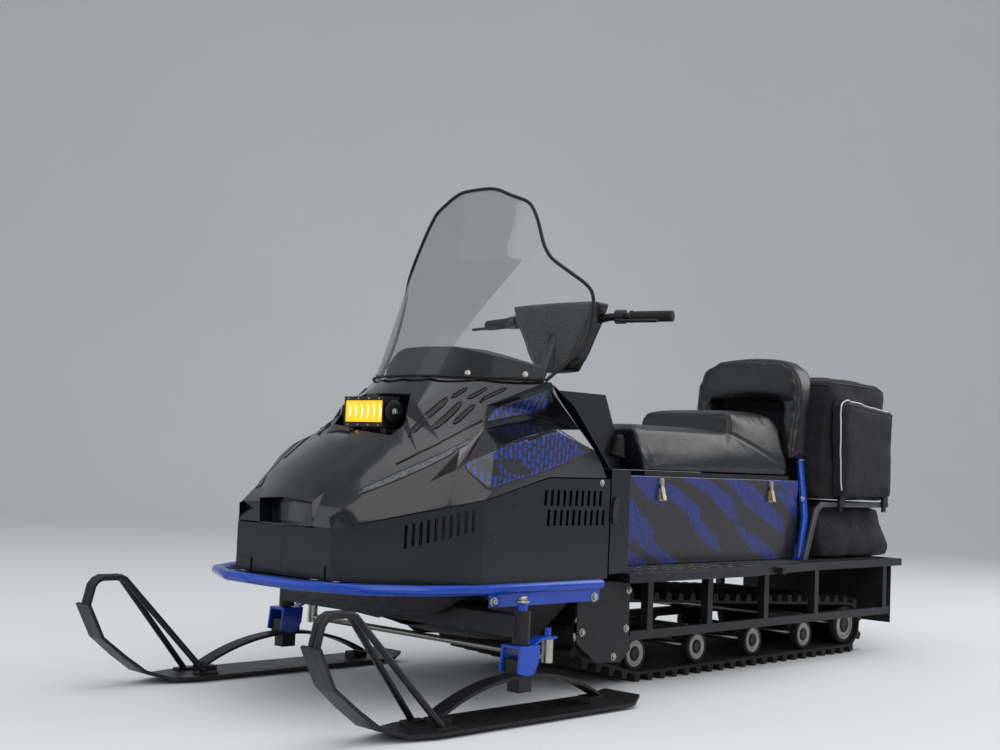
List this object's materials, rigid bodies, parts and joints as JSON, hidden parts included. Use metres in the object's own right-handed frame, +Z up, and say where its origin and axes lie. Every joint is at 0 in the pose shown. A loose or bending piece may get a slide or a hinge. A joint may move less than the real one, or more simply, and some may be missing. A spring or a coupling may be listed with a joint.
{
  "type": "long-track utility snowmobile",
  "caption": "Long-track utility snowmobile with steered skis, a rubber track, an opening bonnet, a hinged seat over a storage box, and rear bags on a rack.",
  "frame": {"origin": "on the ground, below the middle of the overall box", "axes": "+X forward, +Y to the rider's left, +Z up"},
  "size_m": [2.736, 1.034, 1.334],
  "materials": {
    "track_rubber": "matte moulded rubber",
    "wheel_rubber": "matte",
    "axle_steel": "zinc plated",
    "frame_black": "satin black paint",
    "deck_black": "satin black paint",
    "flap_rubber": "matte",
    "box_paint": "satin dark brown grey paint",
    "seat_board": "matte",
    "seat_leather": "satin stitched cover",
    "hoop_blue": "gloss blue paint",
    "rack_steel": "grey painted tube",
    "bag_fabric": "coarse woven nylon",
    "cowl_paint": "satin blue black paint",
    "hood_plastic": "gloss black",
    "screen_smoke": "smoked clear",
    "lamp_black": "matte",
    "lamp_glass": "clear with yellow reflector",
    "pod_black": "grained",
    "belly_paint": "satin black paint",
    "engine_alloy": "cast",
    "bumper_blue": "gloss blue paint",
    "bar_steel": "satin black",
    "grip_rubber": "matte",
    "ski_black": "satin black paint",
    "spring_steel": "satin",
    "yoke_blue": "gloss blue paint",
    "zinc": "zinc plated",
    "latch_brass": "yellow passivated",
    "lamp_red": "clear red"
  },
  "bodies": {
    "chassis": {"track": "track_rubber", "track_wheels": "wheel_rubber", "drive_axle": "axle_steel", "suspension_axles": "axle_steel", "slide_beams": "frame_black", "tunnel": "deck_black", "side_frames": "frame_black", "rear_flap": "flap_rubber", "tow_bar": "frame_black", "seat_box": "box_paint", "rear_bolster": "seat_leather", "backrest_hoop": "hoop_blue", "backrest_pad": "seat_leather", "rack_frame": "rack_steel", "bag_upper": "bag_fabric", "bag_pockets": "bag_fabric", "bag_lower": "bag_fabric", "belly_pan": "belly_paint", "engine": "engine_alloy", "bumper": "bumper_blue", "flank_panels": "cowl_paint", "instrument_console": "pod_black", "ski_beam": "frame_black", "fixed_hinges": "zinc", "latches": "latch_brass", "tail_lamp": "lamp_red"},
    "bonnet": {"engine_cowl": "cowl_paint", "hood": "hood_plastic", "windscreen": "screen_smoke", "lamp_lens": "lamp_glass", "lamp_housing": "lamp_black", "dash_pod": "pod_black"},
    "seat": {"seat_base": "seat_board", "seat_cushion": "seat_leather"},
    "steering": {"steering_column": "bar_steel", "handlebar": "bar_steel", "grips": "grip_rubber", "bar_pad": "seat_leather"},
    "left_ski": {"ski_left": "ski_black", "ski_spring_left": "spring_steel", "ski_yoke_left": "yoke_blue"},
    "right_ski": {"ski_right": "ski_black", "ski_spring_right": "spring_steel", "ski_yoke_right": "yoke_blue"},
    "tie_rod": {"tie_rod": "zinc"}
  },
  "joints": [
    {"name": "bonnet_hinge", "type": "hinge", "parent": "chassis", "child": "bonnet", "pos_m": [1.113, 0, 0.3], "axis": [0, 1, 0], "range_deg": [0, 60]},
    {"name": "seat_hinge", "type": "hinge", "parent": "chassis", "child": "seat", "pos_m": [-0.39, -0.217, 0.578], "axis": [1, 0, 0], "range_deg": [0, 55]},
    {"name": "steering_turn", "type": "hinge", "parent": "chassis", "child": "steering", "pos_m": [0.136, 0, 0.998], "axis": [-0.4462, 0, 0.8949], "range_deg": [-30, 30]},
    {"name": "left_ski_turn", "type": "hinge", "parent": "chassis", "child": "left_ski", "pos_m": [0.737, 0.442, 0.2], "axis": [0, 0, 1], "range_deg": [-26, 26]},
    {"name": "right_ski_turn", "type": "hinge", "parent": "chassis", "child": "right_ski", "pos_m": [0.737, -0.442, 0.2], "axis": [0, 0, 1], "range_deg": [-26, 26]},
    {"name": "tie_rod_slide", "type": "slide", "parent": "chassis", "child": "tie_rod", "axis": [0, 1, 0], "range_m": [-0.042, 0.042]}
  ],
  "couplings": [
    {"joint": "left_ski_turn", "follows": "steering_turn", "ratio": 0.8333},
    {"joint": "right_ski_turn", "follows": "steering_turn", "ratio": 0.8333},
    {"joint": "tie_rod_slide", "follows": "steering_turn", "m_per_rad": -0.0775}
  ]
}
